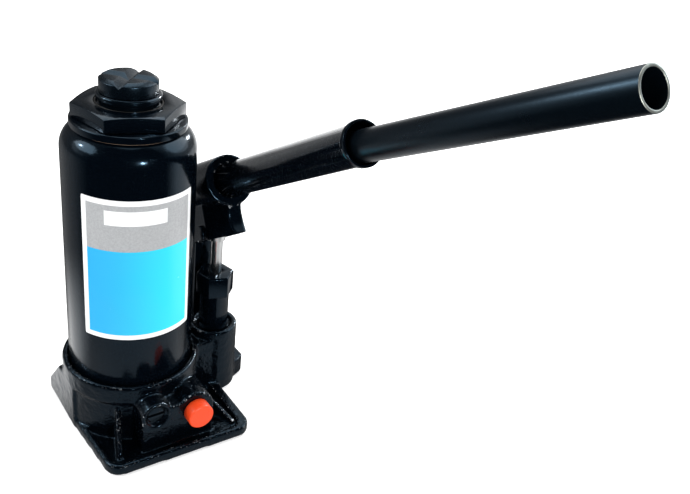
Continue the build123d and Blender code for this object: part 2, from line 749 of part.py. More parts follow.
# Handle socket: a forked lug under a tube, with a slot that the plunger pin slides in
with BuildPart() as handle_socket:
    socket_back = socket_reach - socket_length
    throat = socket_lift - socket_diameter / 2
    with BuildSketch(socket_plane):
        with BuildLine():
            Line((nose_reach, -nose_drop), (0, -cheek_drop))
            eye = CenterArc((0, 0), cheek_drop, 270, -90)
            Polyline(
                eye @ 1,
                (socket_back, throat),
                (socket_back, socket_lift),
                (socket_reach, socket_lift),
                (socket_reach, throat),
            )
            ThreePointArc(
                (socket_reach, throat),
                ((socket_reach + nose_reach) / 2 - nose_sweep, (throat - nose_drop) / 2),
                (nose_reach, -nose_drop),
            )
        make_face()
    extrude(amount=cheek_span / 2, both=True)
    # The lug narrows towards its nose
    with BuildSketch(Plane(socket_plane.origin, x_dir=handle_way, z_dir=socket_plane.y_dir)):
        for side in (1, -1):
            with BuildLine():
                Polyline(
                    (taper_start, side * cheek_span / 2),
                    (nose_reach + nose_width, side * cheek_span / 2),
                    (nose_reach + nose_width, side * nose_width / 2),
                    (nose_reach, side * nose_width / 2),
                    close=True,
                )
            make_face()
    extrude(amount=socket_lift, both=True, mode=Mode.SUBTRACT)
    with BuildSketch(mouth_plane):
        Circle(socket_diameter / 2)
    extrude(amount=-socket_length)
    with BuildSketch(mouth_plane):
        Circle(handle_diameter / 2 + running_gap)
    extrude(amount=-socket_bore_depth, mode=Mode.SUBTRACT)
    with BuildSketch(socket_plane):
        with Locations((fork_front, fork_ceiling)):
            Rectangle(2 * socket_length, socket_length, align=Align.MAX)
    extrude(amount=fork_gap / 2, both=True, mode=Mode.SUBTRACT)
    with BuildSketch(socket_plane):
        Circle(pin_diameter / 2 + running_gap)
        with Locations((pin_along - slot_travel / 2, pin_across)):
            SlotCenterToCenter(slot_travel, pin_diameter + 2 * slot_gap)
    extrude(amount=cheek_span, both=True, mode=Mode.SUBTRACT)

# Lower handle tube, flared at its outer end
with BuildPart() as handle_tube:
    bore_radius = handle_diameter / 2 - handle_wall
    lip_bore = lip_diameter / 2 - handle_wall
    with BuildSketch(Plane(mouth, x_dir=(1, 0, 0), z_dir=Vector(1, 0, 0).cross(Vector(*handle_way)))):
        with BuildLine():
            Polyline(
                (bore_radius, -handle_inserted),
                (handle_diameter / 2, -handle_inserted),
                (handle_diameter / 2, handle_visible - lip_length),
                (lip_diameter / 2, handle_visible - lip_length / 2),
                (lip_diameter / 2, handle_visible),
                (lip_bore, handle_visible),
                (lip_bore, handle_visible - lip_length / 2),
                (bore_radius, handle_visible - lip_length),
                close=True,
            )
        make_face()
    revolve(axis=Axis(mouth, handle_way))

# Upper handle tube, loose in the lower one so that it droops a little
with BuildPart() as handle_extension:
    with BuildSketch(extension_plane.offset(hold_depth - extension_inserted)):
        Circle(extension_diameter / 2)
        Circle(extension_diameter / 2 - extension_wall, mode=Mode.SUBTRACT)
    extrude(amount=extension_inserted + extension_visible)

# Release valve: threaded body, cone tip, seal groove and a stem for the cap
with BuildPart() as release_valve:
    with BuildSketch(Plane((release_offset, 0, release_height), x_dir=(1, 0, 0), z_dir=(0, 0, 1))):
        with BuildLine():
            Polyline(
                (0, release_tip_length + release_body_length - boss_front),
                (valve_bore_diameter / 2 - release_tip_length / 2,
                 release_tip_length + release_body_length - boss_front),
                (valve_bore_diameter / 2 - running_gap, release_body_length - boss_front),
                (valve_bore_diameter / 2 - running_gap, -boss_front),
                (stem_diameter / 2, -boss_front),
                (stem_diameter / 2, -boss_front - stem_length),
                (0, -boss_front - stem_length),
                close=True,
            )
        make_face()
    revolve(axis=Axis((release_offset, 0, release_height), (0, 1, 0)))
    with BuildSketch(facing_operator(release_offset, boss_front - release_body_length / 2, release_height)):
        Circle(valve_bore_diameter / 2)
        Circle(valve_bore_diameter / 2 - release_seal_depth, mode=Mode.SUBTRACT)
    extrude(amount=release_seal_height, mode=Mode.SUBTRACT)

with BuildPart() as release_seal:
    with BuildSketch(facing_operator(release_offset, boss_front - release_body_length / 2, release_height)):
        Circle(valve_bore_diameter / 2 - running_gap)
        Circle(valve_bore_diameter / 2 - release_seal_depth + running_gap, mode=Mode.SUBTRACT)
    extrude(amount=release_seal_height)

with BuildPart() as release_ball:
    ball_depth = boss_front - release_body_length - release_tip_length - face_gap - release_ball_diameter / 2
    with Locations((release_offset, -ball_depth, release_height)):
        Sphere(release_ball_diameter / 2)

# Plastic cap over the release valve's stem
with BuildPart() as valve_cap:
    with BuildSketch(facing_operator(release_offset, boss_front + face_gap, release_height)):
        Circle(valve_cap_diameter / 2)
    extrude(amount=valve_cap_length)
    fillet(valve_cap.faces().sort_by(Axis.Y)[0].edges(), valve_cap_fillet)
    with BuildSketch(facing_operator(release_offset, boss_front + face_gap, release_height)):
        Circle(stem_diameter / 2 + running_gap)
    extrude(amount=stem_length, mode=Mode.SUBTRACT)

# Overload valve: slotted plug, spring and ball
with BuildPart() as overload_plug:
    plug_tail = boss_front - plug_recess - plug_length
    with BuildSketch(facing_operator(overload_offset, plug_tail, overload_height)):
        Circle(valve_bore_diameter / 2 - seat_gap)
    extrude(amount=plug_length)
    slot_floor = boss_front - plug_recess - plug_slot_depth
    with BuildSketch(facing_operator(overload_offset, slot_floor, overload_height)):
        Rectangle(valve_bore_diameter, plug_slot_width)
    extrude(amount=plug_slot_depth, mode=Mode.SUBTRACT)

overload_ball_centre = valve_bore_depth - check_ball_diameter / 2 - face_gap - boss_front
spring_start = plug_recess + plug_length + face_gap + spring_wire / 2 - boss_front
spring_end = overload_ball_centre - check_ball_diameter / 2 - face_gap - spring_wire / 2

with BuildPart() as overload_spring:
    with BuildLine() as coil:
        Helix(
            pitch=(spring_end - spring_start) / spring_turns,
            height=spring_end - spring_start,
            radius=(spring_diameter - spring_wire) / 2,
            center=(overload_offset, spring_start, overload_height),
            direction=(0, 1, 0),
        )
    with BuildSketch(Plane(coil.line @ 0, z_dir=coil.line % 0)):
        RegularPolygon(spring_wire / 2, 6)
    sweep(is_frenet=True)

with BuildPart() as overload_ball:
    with Locations((overload_offset, overload_ball_centre, overload_height)):
        Sphere(check_ball_diameter / 2)

pieces = {
    "base": base,
    "reservoir": reservoir,
    "filler_plug": filler_plug,
    "tank_gasket": tank_gasket,
    "cap_gasket": cap_gasket,
    "cylinder_seal": cylinder_seal,
    "inner_cylinder": inner_cylinder,
    "cap_nut": cap_nut,
    "ram_wiper": ram_wiper,
    "ram": ram,
    "ram_cup_seal": ram_cup_seal,
    "extension_screw": extension_screw,
    "screw_stop_ring": screw_stop_ring,
    "pump_cylinder": pump_cylinder,
    "pump_washer": pump_washer,
    "plunger": plunger,
    "plunger_seal": plunger_seal,
    "suction_ball": suction_ball,
    "discharge_ball": discharge_ball,
    "link_bar": link_bar,
    "link_top_pin": link_top_pin,
    "link_base_pin": link_base_pin,
    "plunger_pin": plunger_pin,
    "link_top_clip": link_top_clip,
    "link_base_clip": link_base_clip,
    "plunger_clip": plunger_clip,
    "handle_socket": handle_socket,
    "handle_tube": handle_tube,
    "handle_extension": handle_extension,
    "release_valve": release_valve,
    "release_seal": release_seal,
    "release_ball": release_ball,
    "valve_cap": valve_cap,
    "overload_plug": overload_plug,
    "overload_spring": overload_spring,
    "overload_ball": overload_ball,
}
os.makedirs("parts", exist_ok=True)
for node, piece in pieces.items():
    piece.part.label = node
    export_step(piece.part, f"parts/{node}.step")
print("pieces", len(pieces), "closed height", round(saddle_top, 2))
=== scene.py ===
import bpy
import bmesh
import json
import math
from mathutils import Euler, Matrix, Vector, noise


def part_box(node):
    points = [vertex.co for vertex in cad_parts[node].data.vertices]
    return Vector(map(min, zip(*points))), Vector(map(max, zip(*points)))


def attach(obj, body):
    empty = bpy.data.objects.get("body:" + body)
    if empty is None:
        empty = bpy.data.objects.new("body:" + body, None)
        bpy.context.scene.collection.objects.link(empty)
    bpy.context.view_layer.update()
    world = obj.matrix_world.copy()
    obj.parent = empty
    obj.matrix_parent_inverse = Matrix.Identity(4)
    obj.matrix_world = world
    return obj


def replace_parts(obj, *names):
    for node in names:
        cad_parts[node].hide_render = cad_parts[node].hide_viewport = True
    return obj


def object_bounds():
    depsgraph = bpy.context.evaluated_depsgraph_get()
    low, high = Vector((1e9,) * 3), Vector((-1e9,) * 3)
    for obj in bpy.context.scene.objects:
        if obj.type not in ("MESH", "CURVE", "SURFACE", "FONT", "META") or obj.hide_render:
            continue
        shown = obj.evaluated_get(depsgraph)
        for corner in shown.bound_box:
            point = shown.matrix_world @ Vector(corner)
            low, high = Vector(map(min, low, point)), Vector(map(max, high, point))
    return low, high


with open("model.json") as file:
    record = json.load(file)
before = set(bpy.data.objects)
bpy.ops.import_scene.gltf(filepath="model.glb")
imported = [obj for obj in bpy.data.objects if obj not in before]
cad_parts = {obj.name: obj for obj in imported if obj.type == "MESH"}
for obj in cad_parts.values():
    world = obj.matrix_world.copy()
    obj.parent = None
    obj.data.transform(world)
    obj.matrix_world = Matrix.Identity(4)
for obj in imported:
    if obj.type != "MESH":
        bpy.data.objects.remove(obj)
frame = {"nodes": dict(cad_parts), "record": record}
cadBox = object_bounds()
nodes = frame["nodes"]
print("frame loaded:", len(nodes), "nodes")

scene = bpy.context.scene
scene.view_settings.view_transform = "Standard"
mm = 0.001


# camera, fitted to the round tank and the edges of the plate
photoView = {
    "location": (-0.16144, -0.39987, 0.35858),
    "turn": (61.1161, -6.7735, -34.8794),   # degrees
    "lens": 43.243,                         # mm on the sensor below
    "sensor": 36.0,
    "nearest": 0.01,
}
lensData = bpy.data.cameras.new("photoCamera")
lensData.lens = photoView["lens"]
lensData.sensor_width = photoView["sensor"]
lensData.sensor_fit = "HORIZONTAL"
lensData.clip_start = photoView["nearest"]
photoCamera = bpy.data.objects.new("photoCamera", lensData)
photoCamera.location = photoView["location"]
photoCamera.rotation_euler = Euler([math.radians(a) for a in photoView["turn"]], "XYZ")
scene.collection.objects.link(photoCamera)
scene.camera = photoCamera
print("camera placed")


# small helpers for node trees: a value is a number, a colour or another node's socket
def feed(tree, socket, value):
    if isinstance(value, bpy.types.NodeSocket):
        tree.links.new(value, socket)
    else:
        socket.default_value = value


def addNode(tree, kind, **values):
    made = tree.nodes.new(kind)
    for key, value in values.items():
        if key in made.inputs.keys():
            made.inputs[key].default_value = value
        else:
            setattr(made, key, value)
    return made


def objectPlace(tree):
    return tree.nodes.new("ShaderNodeTexCoord").outputs["Object"]


def mathNode(tree, operation, *values):
    made = addNode(tree, "ShaderNodeMath", operation=operation)
    for socket, value in zip(made.inputs, values):
        feed(tree, socket, value)
    return made.outputs[0]


def vectorNode(tree, operation, *values):
    made = addNode(tree, "ShaderNodeVectorMath", operation=operation)
    for socket, value in zip(made.inputs, values):
        feed(tree, socket, value)
    return made


def stepNode(tree, value, low, high):
    made = addNode(tree, "ShaderNodeMapRange", interpolation_type="SMOOTHSTEP")
    feed(tree, made.inputs["Value"], value)
    feed(tree, made.inputs["From Min"], low)
    feed(tree, made.inputs["From Max"], high)
    return made.outputs["Result"]


def mixColour(tree, factor, first, second):
    made = addNode(tree, "ShaderNodeMix", data_type="RGBA")
    feed(tree, made.inputs["Factor"], factor)
    feed(tree, made.inputs[6], first)       # the colour sockets of the mix
    feed(tree, made.inputs[7], second)
    return made.outputs[2]


def noiseNode(tree, vector, scale, detail, roughness=0.5):
    made = addNode(tree, "ShaderNodeTexNoise", Detail=detail, Roughness=roughness)
    feed(tree, made.inputs["Vector"], vector)
    feed(tree, made.inputs["Scale"], scale)
    return made.outputs["Fac"]


def newGroup(name, inputs, outputs):
    group = bpy.data.node_groups.new(name, "ShaderNodeTree")
    for title, kind, value in inputs:
        socket = group.interface.new_socket(title, in_out="INPUT", socket_type=kind)
        socket.default_value = value
    for title, kind in outputs:
        group.interface.new_socket(title, in_out="OUTPUT", socket_type=kind)
    into = group.nodes.new("NodeGroupInput")
    out = group.nodes.new("NodeGroupOutput")
    return group, into.outputs, out.inputs


surfaceOutputs = (
    ("Colour", "NodeSocketColor"),
    ("Roughness", "NodeSocketFloat"),
    ("Height", "NodeSocketFloat"),
)

# paint skin: orange peel, cast lumps, clouds in the gloss, thin paint on the edges (on the casting
# partly a painted highlight), specks of dust
skinPattern = {
    "cloudScale": 28.0,
    "speckScale": 2600.0,
    "bevelSamples": 6,
    "edgeBend": (0.02, 0.2),        # turn of the normal at an edge
    "wornPatch": (0.36, 0.6),
    "chip": (0.48, 0.64),
    "speck": (0.66, 0.74),
    "speckDulling": 0.25,
}


def makePaintSkin():
    group, into, out = newGroup(
        "paintSkin",
        (
            ("Paint", "NodeSocketColor", (0.01, 0.015, 0.02, 1)),
            ("Thin Paint And Glint", "NodeSocketColor", (0.1, 0.11, 0.12, 1)),
            ("Peel Scale", "NodeSocketFloat", 450.0),
            ("Lump Scale", "NodeSocketFloat", 140.0),
            ("Lump Share", "NodeSocketFloat", 0.0),
            ("Edge Width", "NodeSocketFloat", 0.0006),
            ("Edge Wear And Glint", "NodeSocketFloat", 0.4),
            ("Chip Scale", "NodeSocketFloat", 500.0),
            ("Gloss", "NodeSocketFloat", 0.1),
            ("Dulling", "NodeSocketFloat", 0.1),
        ),
        surfaceOutputs,
    )
    place = objectPlace(group)
    peel = noiseNode(group, place, into["Peel Scale"], detail=2.0)
    lumps = noiseNode(group, place, into["Lump Scale"], detail=3.0, roughness=0.55)
    clouds = noiseNode(group, place, skinPattern["cloudScale"], detail=4.0, roughness=0.6)
    specks = noiseNode(group, place, skinPattern["speckScale"], detail=1.0)
    chips = noiseNode(group, place, into["Chip Scale"], detail=2.0, roughness=0.6)

    rounded = addNode(group, "ShaderNodeBevel", samples=skinPattern["bevelSamples"])
    group.links.new(into["Edge Width"], rounded.inputs["Radius"])
    plain = group.nodes.new("ShaderNodeNewGeometry")
    facing = vectorNode(group, "DOT_PRODUCT", rounded.outputs["Normal"], plain.outputs["Normal"])
    bend = mathNode(group, "SUBTRACT", 1.0, facing.outputs["Value"])
    edge = stepNode(group, bend, *skinPattern["edgeBend"])
    broken = mathNode(
        group, "MULTIPLY",
        stepNode(group, clouds, *skinPattern["wornPatch"]),
        stepNode(group, chips, *skinPattern["chip"]),
    )
    worn = mathNode(group, "MULTIPLY", mathNode(group, "MULTIPLY", edge, broken), into["Edge Wear And Glint"])
    group.links.new(mixColour(group, worn, into["Paint"], into["Thin Paint And Glint"]), out["Colour"])

    dust = mathNode(group, "MULTIPLY", stepNode(group, specks, *skinPattern["speck"]),
                    skinPattern["speckDulling"])
    dulled = mathNode(group, "MULTIPLY_ADD", clouds, into["Dulling"], into["Gloss"])
    group.links.new(mathNode(group, "ADD", dulled, dust), out["Roughness"])

    lumpPart = mathNode(group, "MULTIPLY", lumps, into["Lump Share"])
    peelShare = mathNode(group, "SUBTRACT", 1.0, into["Lump Share"])
    peelPart = mathNode(group, "MULTIPLY", peel, peelShare)
    group.links.new(mathNode(group, "ADD", lumpPart, peelPart), out["Height"])
    return group


# machined metal: fine turning or grinding lines along one axis, with small stains
markPattern = {"stainScale": 90.0, "stain": (0.5, 0.75)}


def makeToolMarks():
    group, into, out = newGroup(
        "toolMarks",
        (
            ("Metal", "NodeSocketColor", (0.6, 0.6, 0.6, 1)),
            ("Stain", "NodeSocketColor", (0.3, 0.29, 0.27, 1)),
            ("Line Stretch", "NodeSocketVector", (60.0, 60.0, 5000.0)),
            ("Gloss", "NodeSocketFloat", 0.2),
            ("Scatter", "NodeSocketFloat", 0.15),
        ),
        surfaceOutputs,
    )
    place = objectPlace(group)
    stretched = vectorNode(group, "MULTIPLY", place, into["Line Stretch"])
    lines = noiseNode(group, stretched.outputs["Vector"], 1.0, detail=2.0)
    clouds = noiseNode(group, place, markPattern["stainScale"], detail=4.0, roughness=0.6)
    stained = stepNode(group, clouds, *markPattern["stain"])
    group.links.new(mixColour(group, stained, into["Metal"], into["Stain"]), out["Colour"])
    group.links.new(mathNode(group, "MULTIPLY_ADD", lines, into["Scatter"], into["Gloss"]),
                    out["Roughness"])
    group.links.new(lines, out["Height"])
    return group


# mask of the bare metal beyond a plane, where the paint ends in a ragged line
creepScale = 160.0


def makeBareMetal():
    group, into, out = newGroup(
        "bareMetal",
        (
            ("Direction", "NodeSocketVector", (0.0, 0.0, 1.0)),
            ("Level", "NodeSocketFloat", 0.0),
            ("Soft", "NodeSocketFloat", 0.0001),
            ("Creep", "NodeSocketFloat", 0.0),
        ),
        (("Bare", "NodeSocketFloat"),),
    )
    place = objectPlace(group)
    along = vectorNode(group, "DOT_PRODUCT", place, into["Direction"])
    ragged = mathNode(group, "SUBTRACT", noiseNode(group, place, creepScale, detail=3.0), 0.5)
    reached = mathNode(group, "MULTIPLY_ADD", ragged, into["Creep"], along.outputs["Value"])
    full = mathNode(group, "ADD", into["Level"], into["Soft"])
    group.links.new(stepNode(group, reached, into["Level"], full), out["Bare"])
    return group


# mask of painted glints: pale flecks on a casting's outer edges that stand in for lamp highlights
paintedGlintPattern = {
    "scale": 680.0,
    "fleck": (0.58, 0.66),
    "patchScale": 48.0,
    "patch": (0.42, 0.54),
}


def makePaintedEdgeGlint():
    group, into, out = newGroup(
        "paintedEdgeGlint",
        (
            ("Pointiness", "NodeSocketFloat", 0.5),
            ("Edge Low", "NodeSocketFloat", 0.5),
            ("Edge High", "NodeSocketFloat", 0.6),
        ),
        (("Glint", "NodeSocketFloat"),),
    )
    place = objectPlace(group)
    outer = stepNode(group, into["Pointiness"], into["Edge Low"], into["Edge High"])
    flecks = noiseNode(group, place, paintedGlintPattern["scale"], detail=2.0, roughness=0.6)
    patches = noiseNode(group, place, paintedGlintPattern["patchScale"], detail=2.0)
    onPatch = mathNode(group, "MULTIPLY", outer, stepNode(group, patches, *paintedGlintPattern["patch"]))
    group.links.new(
        mathNode(group, "MULTIPLY", onPatch, stepNode(group, flecks, *paintedGlintPattern["fleck"])),
        out["Glint"],
    )
    return group


paintSkin = makePaintSkin()
toolMarks = makeToolMarks()
bareMetal = makeBareMetal()
paintedEdgeGlint = makePaintedEdgeGlint()


def blankMaterial(name):
    material = bpy.data.materials.new(name)
    material.use_nodes = True
    return material, material.node_tree, material.node_tree.nodes["Principled BSDF"]


def addGroup(tree, group, values):
    made = addNode(tree, "ShaderNodeGroup", node_tree=group)
    for title, value in values.items():
        made.inputs[title].default_value = value
    return made


def newMaterial(name, group, values, bump, shine):
    material, tree, shader = blankMaterial(name)
    skin = addGroup(tree, group, values)
    for title, value in shine.items():
        shader.inputs[title].default_value = value
    relief = addNode(tree, "ShaderNodeBump", Strength=bump["strength"], Distance=bump["distance"])
    tree.links.new(skin.outputs["Height"], relief.inputs["Height"])
    tree.links.new(relief.outputs["Normal"], shader.inputs["Normal"])
    tree.links.new(skin.outputs["Colour"], shader.inputs["Base Color"])
    tree.links.new(skin.outputs["Roughness"], shader.inputs["Roughness"])
    return material


def copyMaterial(material, name):
    made = material.copy()
    made.name = name
    return made


# painted finishes, blue-black under the lamps, with a painted blue tint on their reflections
paintedBlueReflectionTint = (0.42, 0.72, 1.0, 1)
# on the casting the pale thin paint on the edges is partly edge wear and partly a painted highlight
castPaint = newMaterial(
    "castPaint",
    paintSkin,
    {"Paint": (0.0007, 0.0014, 0.0026, 1), "Thin Paint And Glint": (0.32, 0.35, 0.38, 1),
     "Peel Scale": 900.0, "Lump Scale": 260.0, "Lump Share": 0.75, "Edge Width": 0.0018,
     "Edge Wear And Glint": 0.9, "Chip Scale": 620.0, "Gloss": 0.03, "Dulling": 0.08},
    {"strength": 0.55, "distance": 0.0012},
    {"IOR": 1.42, "Specular Tint": paintedBlueReflectionTint},
)
glossPaint = newMaterial(
    "glossPaint",
    paintSkin,
    {"Paint": (0.0007, 0.0018, 0.0035, 1), "Thin Paint And Glint": (0.04, 0.048, 0.055, 1),
     "Peel Scale": 420.0, "Lump Scale": 60.0, "Lump Share": 0.35, "Edge Wear And Glint": 0.45,
     "Gloss": 0.08, "Dulling": 0.1},
    {"strength": 0.12, "distance": 0.0005},
    {"IOR": 1.42, "Specular Tint": paintedBlueReflectionTint},
)
handlePaint = newMaterial(
    "handlePaint",
    paintSkin,
    {"Paint": (0.0007, 0.0014, 0.0028, 1), "Thin Paint And Glint": (0.05, 0.055, 0.06, 1),
     "Peel Scale": 300.0, "Lump Scale": 40.0, "Lump Share": 0.4, "Edge Wear And Glint": 0.3,
     "Gloss": 0.05, "Dulling": 0.08},
    {"strength": 0.1, "distance": 0.0005},
    {"IOR": 1.42, "Specular Tint": paintedBlueReflectionTint},
)
satinPaint = newMaterial(
    "satinPaint",
    paintSkin,
    {"Paint": (0.001, 0.0022, 0.0038, 1), "Thin Paint And Glint": (0.06, 0.065, 0.07, 1),
     "Peel Scale": 700.0, "Lump Scale": 50.0, "Lump Share": 0.3, "Edge Wear And Glint": 0.6,
     "Gloss": 0.22, "Dulling": 0.14},
    {"strength": 0.1, "distance": 0.0004},
    {"IOR": 1.42, "Specular Tint": paintedBlueReflectionTint},
)
ramPaint = newMaterial(
    "ramPaint",
    paintSkin,
    {"Paint": (0.001, 0.0022, 0.0038, 1), "Thin Paint And Glint": (0.05, 0.058, 0.065, 1),
     "Peel Scale": 600.0, "Lump Scale": 160.0, "Lump Share": 0.5, "Edge Wear And Glint": 0.5,
     "Gloss": 0.08, "Dulling": 0.12},
    {"strength": 0.1, "distance": 0.0004},
    {"IOR": 1.46, "Specular Tint": paintedBlueReflectionTint},
)
blackSteel = newMaterial(
    "blackSteel",
    paintSkin,
    {"Paint": (0.001, 0.0022, 0.0038, 1), "Thin Paint And Glint": (0.05, 0.058, 0.065, 1),
     "Peel Scale": 600.0, "Lump Scale": 160.0, "Lump Share": 0.5, "Edge Wear And Glint": 0.7,
     "Gloss": 0.16, "Dulling": 0.2},
    {"strength": 0.35, "distance": 0.0006},
    {"IOR": 1.46, "Specular Tint": paintedBlueReflectionTint},
)

# bare metals
brightSteel = newMaterial(
    "brightSteel",
    toolMarks,
    {"Metal": (0.88, 0.89, 0.89, 1), "Stain": (0.8, 0.8, 0.79, 1), "Gloss": 0.17, "Scatter": 0.12},
    {"strength": 0.08, "distance": 0.00005},
    {"Metallic": 1.0},
)
pinSteel = newMaterial(
    "pinSteel",
    toolMarks,
    {"Metal": (0.5, 0.5, 0.49, 1), "Stain": (0.34, 0.33, 0.31, 1), "Gloss": 0.25, "Scatter": 0.2},
    {"strength": 0.1, "distance": 0.00005},
    {"Metallic": 1.0},
)
softCopper = newMaterial(
    "softCopper",
    toolMarks,
    {"Metal": (0.75, 0.36, 0.22, 1), "Stain": (0.5, 0.22, 0.14, 1), "Gloss": 0.3, "Scatter": 0.2},
    {"strength": 0.1, "distance": 0.00005},
    {"Metallic": 1.0},
)

# rubber, fibre and plastic
blackRubber = newMaterial(
    "blackRubber",
    paintSkin,
    {"Paint": (0.006, 0.006, 0.006, 1), "Thin Paint And Glint": (0.02, 0.02, 0.02, 1),
     "Peel Scale": 1800.0, "Lump Scale": 200.0, "Lump Share": 0.4, "Edge Wear And Glint": 0.5,
     "Gloss": 0.42, "Dulling": 0.2},
    {"strength": 0.2, "distance": 0.0002},
    {"IOR": 1.35},
)
pressedFibre = newMaterial(
    "pressedFibre",
    paintSkin,
    {"Paint": (0.18, 0.12, 0.08, 1), "Thin Paint And Glint": (0.26, 0.19, 0.13, 1),
     "Peel Scale": 2500.0, "Lump Scale": 400.0, "Lump Share": 0.5, "Edge Wear And Glint": 0.4,
     "Gloss": 0.7, "Dulling": 0.2},
    {"strength": 0.4, "distance": 0.0002},
    {"IOR": 1.45},
)
orangePlastic = newMaterial(
    "orangePlastic",
    paintSkin,
    {"Paint": (0.88, 0.062, 0.009, 1), "Thin Paint And Glint": (0.95, 0.13, 0.04, 1),
     "Peel Scale": 1300.0, "Lump Scale": 90.0, "Lump Share": 0.3, "Edge Wear And Glint": 0.5,
     "Gloss": 0.3, "Dulling": 0.12},
    {"strength": 0.1, "distance": 0.0003},
    {"IOR": 1.49, "Subsurface Weight": 0.05},
)


def bareBeyond(material, direction, level, finish):
    tree = material.node_tree
    shader = tree.nodes["Principled BSDF"]
    mask = addGroup(tree, bareMetal, {
        "Direction": direction, "Level": level, "Soft": finish["soft"], "Creep": finish["creep"],
    })
    bare = mask.outputs["Bare"]
    paint = shader.inputs["Base Color"].links[0].from_socket
    gloss = shader.inputs["Roughness"].links[0].from_socket
    tree.links.new(mixColour(tree, bare, paint, finish["steel"]), shader.inputs["Base Color"])
    duller = mathNode(tree, "SUBTRACT", finish["gloss"], gloss)
    tree.links.new(mathNode(tree, "MULTIPLY_ADD", bare, duller, gloss), shader.inputs["Roughness"])
    tree.links.new(bare, shader.inputs["Metallic"])


# the ram: painted rim and neck on a bright rod
ramFinish = {
    "painted": 6.6 * mm,            # down from the top
    "soft": 0.05 * mm,
    "creep": 0.0,
    "steel": (0.8, 0.81, 0.81, 1),
    "gloss": 0.18,
}
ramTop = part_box("ram")[1][2]
bareBeyond(ramPaint, (0, 0, -1), ramFinish["painted"] - ramTop, ramFinish)

# the upper handle tube: paint that stops short of the cut end
cutEnd = {
    "depth": 0.25 * mm,
    "soft": 0.12 * mm,
    "creep": 0.4 * mm,
    "steel": (0.5, 0.52, 0.47, 1),
    "gloss": 0.38,
}
tubePaint = copyMaterial(satinPaint, "tubePaint")
joints = frame["record"]["behaviour"]["joints"]
pullAxis = Vector(next(joint["axis"] for joint in joints if joint["name"] == "extension_pull"))
tubeEnd = max(pullAxis.dot(v.co) for v in nodes["handle_extension"].data.vertices)
bareBeyond(tubePaint, pullAxis, tubeEnd - cutEnd["depth"], cutEnd)

# the two castings: pointiness over which an edge counts as outer, and the tone of its painted
# glints
paintedCastGlint = {
    "base": (0.515, 0.56),
    "socket": (0.504, 0.525),
    "tone": (0.75, 0.8, 0.84, 1),
}


# mixes pale painted highlight flecks into the paint colour on outer edges
def addPaintedGlints(material, edge):
    tree = material.node_tree
    shader = tree.nodes["Principled BSDF"]
    mask = addGroup(tree, paintedEdgeGlint, {"Edge Low": edge[0], "Edge High": edge[1]})
    geometry = tree.nodes.new("ShaderNodeNewGeometry")
    tree.links.new(geometry.outputs["Pointiness"], mask.inputs["Pointiness"])
    paint = shader.inputs["Base Color"].links[0].from_socket
    tree.links.new(mixColour(tree, mask.outputs["Glint"], paint, paintedCastGlint["tone"]),
                   shader.inputs["Base Color"])


addPaintedGlints(castPaint, paintedCastGlint["base"])
# the socket casting gets the same painted glints on its edges
socketPaint = copyMaterial(glossPaint, "socketPaint")
addPaintedGlints(socketPaint, paintedCastGlint["socket"])

finishes = {
    "cast_paint": castPaint,
    "gloss_paint": glossPaint,
    "handle_paint": handlePaint,
    "satin_paint": satinPaint,
    "black_steel": blackSteel,
    "bright_steel": brightSteel,
    "pin_steel": pinSteel,
    "black_rubber": blackRubber,
    "fibre": pressedFibre,
    "copper": softCopper,
    "orange_plastic": orangePlastic,
}
ownFinish = {"ram": ramPaint, "handle_extension": tubePaint, "handle_socket": socketPaint}
bodies = frame["record"]["behaviour"]["bodies"]
slotOf = {entry["node"]: entry["material_slot"] for entry in frame["record"]["subparts"]}
bodyOf = {node: body for body, members in bodies.items() for node in members}
for name, cadNode in nodes.items():
    cadNode.data.materials.clear()
    cadNode.data.materials.append(finishes[slotOf[name]])
print("materials ready:", len(finishes))


# mesh tolerances: gaps in metres, angles in degrees
mergeGap = 1e-6
onPlane = 1e-7
nearGap = 1e-5
flatTurn = 0.3
bevelTurn = 30.0
sharpTurn = 35.0
allSmooth = 180.0


# a finished piece: smooth shaded, with edges over the angle kept sharp
def finishPiece(name, bm, node, material=None, sharpAngle=sharpTurn):
    mesh = bpy.data.meshes.new(name)
    bm.to_mesh(mesh)
    bm.free()
    mesh.shade_smooth()
    mesh.set_sharp_from_angle(angle=math.radians(sharpAngle))
    piece = bpy.data.objects.new(name, mesh)
    scene.collection.objects.link(piece)
    mesh.materials.append(material or ownFinish.get(node) or finishes[slotOf[node]])
    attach(piece, bodyOf[node])
    return piece


def copyOfNode(node):
    bm = bmesh.new()
    bm.from_mesh(nodes[node].data)
    bmesh.ops.remove_doubles(bm, verts=bm.verts, dist=mergeGap)
    bmesh.ops.dissolve_limit(bm, angle_limit=math.radians(flatTurn), verts=bm.verts, edges=bm.edges)
    return bm


def roundEdges(bm, width):
    corner = math.radians(bevelTurn)
    edges = [e for e in bm.edges if e.is_manifold and e.calc_face_angle() > corner]
    bmesh.ops.bevel(bm, geom=edges, offset=width, offset_type="OFFSET", segments=2, profile=0.5,
                    affect="EDGES", material=-1, clamp_overlap=True)


# turned, rolled and plain pieces: the solid with its edges eased
easedPieces = {
    "reservoir": 0.3 * mm,
    "cap_nut": 0.35 * mm,
    "ram": 0.25 * mm,
    "extension_screw": 0.3 * mm,
    "pump_cylinder": 0.3 * mm,
    "plunger": 0.2 * mm,
    "link_bar": 0.4 * mm,
    "link_top_pin": 0.15 * mm,
    "link_base_pin": 0.15 * mm,
    "plunger_pin": 0.15 * mm,
    "handle_tube": 0.2 * mm,
    "handle_extension": 0.2 * mm,
    "release_valve": 0.2 * mm,
    "valve_cap": 0.2 * mm,
    "overload_plug": 0.2 * mm,
    "filler_plug": 0.3 * mm,
}

